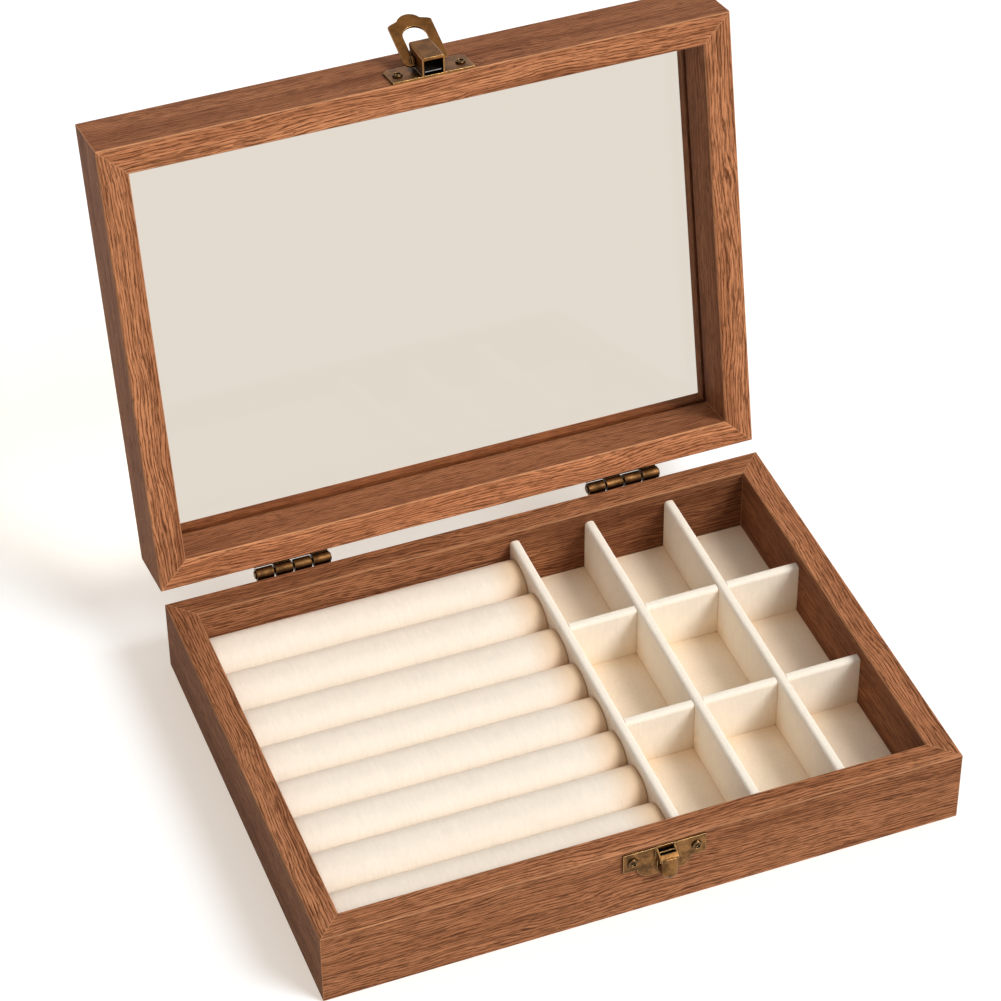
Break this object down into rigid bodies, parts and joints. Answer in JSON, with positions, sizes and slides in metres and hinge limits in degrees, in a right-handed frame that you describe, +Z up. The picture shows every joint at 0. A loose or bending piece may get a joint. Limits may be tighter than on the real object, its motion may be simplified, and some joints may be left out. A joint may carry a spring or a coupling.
{
  "type": "ring display box",
  "caption": "Hinged wooden display box with a glazed lid, padded ring rolls, a velvet divider grid, stop hinges and a bail latch.",
  "frame": {"origin": "middle of the base's underside, on the surface the box stands on", "axes": "+X along the hinges to the right seen from the front, +Y from the front to the hinges, +Z up; the lid stands open on its stops"},
  "size_m": [0.24, 0.2552, 0.2174],
  "materials": {
    "walnut": "oiled walnut, satin, with fine dark pores along the grain",
    "bottom_board": "plain sanded plywood",
    "velvet_floor": "short cream velvet, flat",
    "velvet_divider": "short cream velvet over board",
    "velvet_roll": "soft cream velvet over foam",
    "antique_bronze": "antique bronze, dark in the recesses and rubbed bright on the edges",
    "spring_steel": "plain spring strip",
    "glass": "clear polished sheet"
  },
  "bodies": {
    "base": {"base_front_wall": "walnut", "base_back_wall": "walnut", "base_left_wall": "walnut", "base_right_wall": "walnut", "base_bottom_panel": "bottom_board", "floor_lining": "velvet_floor", "main_divider": "velvet_divider", "left_divider": "velvet_divider", "right_divider": "velvet_divider", "back_cross_divider": "velvet_divider", "front_cross_divider": "velvet_divider", "ring_roll_1": "velvet_roll", "ring_roll_2": "velvet_roll", "ring_roll_3": "velvet_roll", "ring_roll_4": "velvet_roll", "ring_roll_5": "velvet_roll", "ring_roll_6": "velvet_roll", "ring_roll_7": "velvet_roll", "ring_roll_8": "velvet_roll", "catch_plate": "antique_bronze", "catch_screws": "antique_bronze", "left_hinge_base_leaf": "antique_bronze", "right_hinge_base_leaf": "antique_bronze", "left_hinge_pin": "antique_bronze", "right_hinge_pin": "antique_bronze", "base_hinge_screws": "antique_bronze"},
    "lid": {"lid_front_wall": "walnut", "lid_back_wall": "walnut", "lid_left_wall": "walnut", "lid_right_wall": "walnut", "lid_glass": "glass", "latch_housing": "antique_bronze", "latch_spring": "spring_steel", "latch_screws": "antique_bronze", "left_hinge_lid_leaf": "antique_bronze", "right_hinge_lid_leaf": "antique_bronze", "lid_hinge_screws": "antique_bronze"},
    "latch_bail": {"latch_bail": "antique_bronze", "latch_bail_pin": "antique_bronze"}
  },
  "joints": [
    {"name": "lid_hinge", "type": "hinge", "parent": "base", "child": "lid", "pos_m": [0, 0.0925, 0.031], "axis": [1, 0, 0], "range_deg": [0, 101.8]},
    {"name": "bail_pivot", "type": "hinge", "parent": "lid", "child": "latch_bail", "pos_m": [0.0054, 0.13932, 0.21103], "axis": [1, 0, 0], "range_deg": [-30, 145]}
  ]
}
